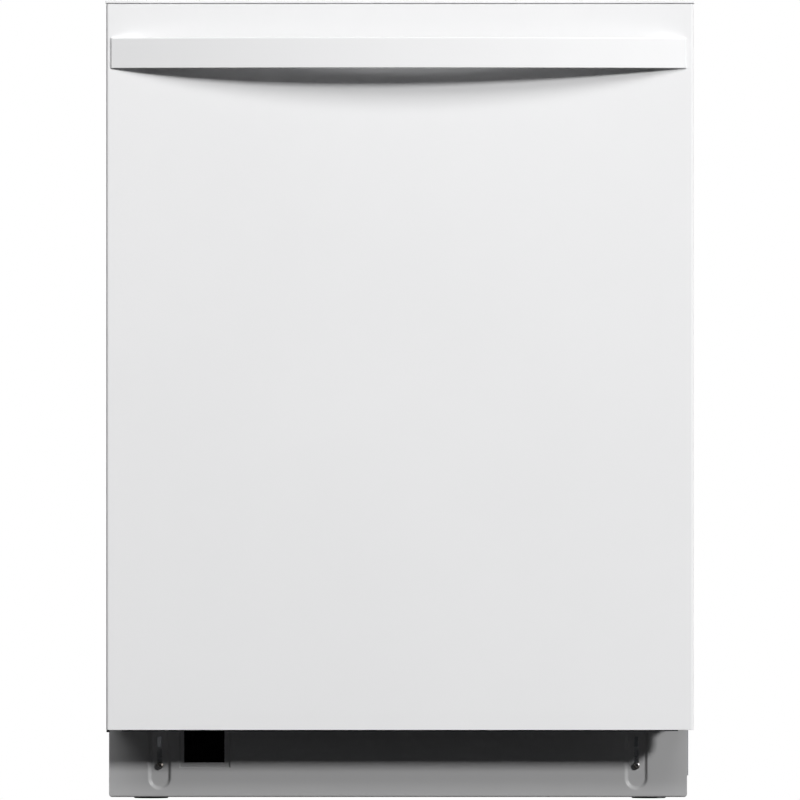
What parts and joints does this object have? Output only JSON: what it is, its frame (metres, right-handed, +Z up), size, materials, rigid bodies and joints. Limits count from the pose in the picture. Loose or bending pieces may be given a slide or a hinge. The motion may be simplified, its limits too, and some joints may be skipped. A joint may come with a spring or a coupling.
{
  "type": "built in dishwasher",
  "caption": "White built-in dishwasher for a standard undercounter gap: plain drop-down door with a bowed bar handle, steel tub, sliding racks, spray arms and a recessed toe-kick.",
  "frame": {"origin": "centre of the footprint at floor level", "axes": "+X to the right seen from the front, +Y to the back, +Z up; the door faces -Y"},
  "size_m": [0.6, 0.6049, 0.815],
  "materials": {
    "white_enamel": "smooth white baked enamel",
    "white_plastic": "fine satin moulding",
    "grey_plastic": "grained moulding",
    "black_plastic": "satin black moulding",
    "stainless": "fine horizontal brushing",
    "galvanised": "spangled zinc coat",
    "spring_steel": "oiled dark steel",
    "felt": "needled grey felt",
    "rubber_black": "matt",
    "rubber_grey": "matt",
    "bitumen": "matt embossed mat",
    "rack_coat": "grey nylon dip coat on wire",
    "dark_glass": "dark smoked window"
  },
  "bodies": {
    "cabinet": {"base_pan": "grey_plastic", "tub": "stainless", "front_frame": "galvanised", "felt_jacket": "felt", "tub_gasket": "rubber_grey", "worktop_brackets": "galvanised", "hinge_brackets": "galvanised", "door_springs": "spring_steel", "latch_strike": "galvanised", "sump": "grey_plastic", "flat_filter": "stainless", "circulation_pump": "black_plastic", "drain_pump": "black_plastic", "drain_outlet": "grey_plastic", "inlet_valve": "white_plastic", "junction_box": "galvanised", "rear_brace": "galvanised", "spray_feed_tube": "grey_plastic", "rail_rollers": "white_plastic", "toe_kick_screws": "spring_steel"},
    "door": {"door_outer_panel": "white_enamel", "door_sound_mat": "bitumen", "door_inner_liner": "stainless", "control_panel": "white_plastic", "display_window": "dark_glass", "control_module": "grey_plastic", "handle_bar": "white_enamel", "handle_screws": "spring_steel", "hinge_arms": "spring_steel", "door_bottom_trim": "rubber_black", "dispenser_body": "white_plastic"},
    "lower_rack_body": {"lower_rack": "rack_coat", "lower_rack_tines": "rack_coat", "cutlery_basket": "grey_plastic"},
    "upper_rail_pair": {"upper_rails": "stainless"},
    "upper_rack_body": {"upper_rack": "rack_coat", "upper_arm_feed": "grey_plastic"},
    "toe_kick": {"toe_kick_panel": "white_enamel", "toe_kick_grille": "black_plastic"},
    "foot_front_left_body": {"foot_front_left": "galvanised"},
    "foot_front_right_body": {"foot_front_right": "galvanised"},
    "foot_rear_body": {"foot_rear": "galvanised"},
    "filter_cylinder_body": {"filter_cylinder": "grey_plastic"},
    "lower_spray_arm_body": {"lower_spray_arm": "grey_plastic"},
    "upper_spray_arm_body": {"upper_spray_arm": "grey_plastic"},
    "top_spray_rotor_body": {"top_spray_rotor": "grey_plastic"},
    "folding_tines_body": {"folding_tines": "rack_coat"},
    "lower_wheels_1_body": {"lower_wheels_1": "grey_plastic"},
    "lower_wheels_2_body": {"lower_wheels_2": "grey_plastic"},
    "lower_wheels_3_body": {"lower_wheels_3": "grey_plastic"},
    "lower_wheels_4_body": {"lower_wheels_4": "grey_plastic"},
    "cup_shelf_body": {"cup_shelf": "rack_coat"},
    "dispenser_lid_body": {"dispenser_lid": "white_plastic"},
    "rinse_cap_body": {"rinse_cap": "grey_plastic"},
    "latch_pawl_body": {"latch_pawl": "spring_steel"},
    "power_key_body": {"power_key": "white_plastic"},
    "start_key_body": {"start_key": "white_plastic"},
    "program_key_1_body": {"program_key_1": "white_plastic"},
    "program_key_2_body": {"program_key_2": "white_plastic"},
    "program_key_3_body": {"program_key_3": "white_plastic"}
  },
  "joints": [
    {"name": "door_hinge", "type": "hinge", "parent": "cabinet", "child": "door", "pos_m": [0, -0.2415, 0.101], "axis": [1, 0, 0], "range_deg": [0, 90], "stiffness_Nm_per_rad": 19, "springref_deg": -9, "deforming": ["door_springs"]},
    {"name": "lower_rack_slide", "type": "slide", "parent": "cabinet", "child": "lower_rack_body", "axis": [0, -1, 0], "range_m": [0, 0.135]},
    {"name": "lower_wheels_1_roll", "type": "hinge", "parent": "lower_rack_body", "child": "lower_wheels_1_body", "pos_m": [0, -0.1265, 0.146], "axis": [1, 0, 0], "range_deg": [0, 580]},
    {"name": "lower_wheels_2_roll", "type": "hinge", "parent": "lower_rack_body", "child": "lower_wheels_2_body", "pos_m": [0, -0.0165, 0.146], "axis": [1, 0, 0], "range_deg": [0, 580]},
    {"name": "lower_wheels_3_roll", "type": "hinge", "parent": "lower_rack_body", "child": "lower_wheels_3_body", "pos_m": [0, 0.0935, 0.146], "axis": [1, 0, 0], "range_deg": [0, 580]},
    {"name": "lower_wheels_4_roll", "type": "hinge", "parent": "lower_rack_body", "child": "lower_wheels_4_body", "pos_m": [0, 0.2035, 0.146], "axis": [1, 0, 0], "range_deg": [0, 580]},
    {"name": "upper_rail_slide", "type": "slide", "parent": "cabinet", "child": "upper_rail_pair", "axis": [0, -1, 0], "range_m": [0, 0.24]},
    {"name": "upper_rack_slide", "type": "slide", "parent": "upper_rail_pair", "child": "upper_rack_body", "axis": [0, -1, 0], "range_m": [0, 0.24]},
    {"name": "cup_shelf_fold", "type": "hinge", "parent": "upper_rack_body", "child": "cup_shelf_body", "pos_m": [-0.226, 0.0285, 0.575], "axis": [0, -1, 0], "range_deg": [0, 85]},
    {"name": "fold_tines", "type": "hinge", "parent": "lower_rack_body", "child": "folding_tines_body", "pos_m": [0.136, 0.0735, 0.194], "axis": [1, 0, 0], "range_deg": [0, 88]},
    {"name": "filter_twist", "type": "hinge", "parent": "cabinet", "child": "filter_cylinder_body", "pos_m": [0, -0.0315, 0.1], "axis": [0, 0, 1], "range_deg": [0, 90]},
    {"name": "spray_lower_spin", "type": "hinge", "parent": "cabinet", "child": "lower_spray_arm_body", "pos_m": [0, 0.0635, 0.15], "axis": [0, 0, 1], "continuous": true},
    {"name": "spray_upper_spin", "type": "hinge", "parent": "upper_rack_body", "child": "upper_spray_arm_body", "pos_m": [0, 0.0335, 0.44], "axis": [0, 0, 1], "continuous": true},
    {"name": "spray_top_spin", "type": "hinge", "parent": "cabinet", "child": "top_spray_rotor_body", "pos_m": [0, 0.0475, 0.738], "axis": [0, 0, 1], "continuous": true},
    {"name": "toe_kick_slide", "type": "slide", "parent": "cabinet", "child": "toe_kick", "axis": [0, 0, -1], "range_m": [0, 0.025]},
    {"name": "foot_front_left_screw", "type": "slide", "parent": "cabinet", "child": "foot_front_left_body", "axis": [0, 0, -1], "range_m": [0, 0.048]},
    {"name": "foot_front_right_screw", "type": "slide", "parent": "cabinet", "child": "foot_front_right_body", "axis": [0, 0, -1], "range_m": [0, 0.048]},
    {"name": "foot_rear_screw", "type": "slide", "parent": "cabinet", "child": "foot_rear_body", "axis": [0, 0, -1], "range_m": [0, 0.048]},
    {"name": "dispenser_lid_slide", "type": "slide", "parent": "door", "child": "dispenser_lid_body", "axis": [0, 0, 1], "range_m": [0, 0.068]},
    {"name": "rinse_cap_twist", "type": "hinge", "parent": "door", "child": "rinse_cap_body", "pos_m": [0.054, -0.2125, 0.52], "axis": [0, 1, 0], "range_deg": [0, 90]},
    {"name": "latch_pivot", "type": "hinge", "parent": "door", "child": "latch_pawl_body", "pos_m": [0, -0.2265, 0.8025], "axis": [-1, 0, 0], "range_deg": [0, 8], "stiffness_Nm_per_rad": 0.5, "springref_deg": -11.46},
    {"name": "power_key_press", "type": "slide", "parent": "door", "child": "power_key_body", "axis": [0, 0, -1], "range_m": [0, 0.0012], "stiffness_N_per_m": 300, "springref_m": -0.001},
    {"name": "start_key_press", "type": "slide", "parent": "door", "child": "start_key_body", "axis": [0, 0, -1], "range_m": [0, 0.0012], "stiffness_N_per_m": 300, "springref_m": -0.001},
    {"name": "program_key_1_press", "type": "slide", "parent": "door", "child": "program_key_1_body", "axis": [0, 0, -1], "range_m": [0, 0.0012], "stiffness_N_per_m": 300, "springref_m": -0.001},
    {"name": "program_key_2_press", "type": "slide", "parent": "door", "child": "program_key_2_body", "axis": [0, 0, -1], "range_m": [0, 0.0012], "stiffness_N_per_m": 300, "springref_m": -0.001},
    {"name": "program_key_3_press", "type": "slide", "parent": "door", "child": "program_key_3_body", "axis": [0, 0, -1], "range_m": [0, 0.0012], "stiffness_N_per_m": 300, "springref_m": -0.001}
  ],
  "couplings": [
    {"joint": "lower_rack_slide", "follows": "door_hinge", "m_per_rad": 0.083},
    {"joint": "upper_rail_slide", "follows": "door_hinge", "m_per_rad": 0.15},
    {"joint": "upper_rack_slide", "follows": "door_hinge", "m_per_rad": 0.15},
    {"joint": "lower_wheels_1_roll", "follows": "door_hinge", "ratio": 6.3846},
    {"joint": "lower_wheels_2_roll", "follows": "door_hinge", "ratio": 6.3846},
    {"joint": "lower_wheels_3_roll", "follows": "door_hinge", "ratio": 6.3846},
    {"joint": "lower_wheels_4_roll", "follows": "door_hinge", "ratio": 6.3846}
  ]
}
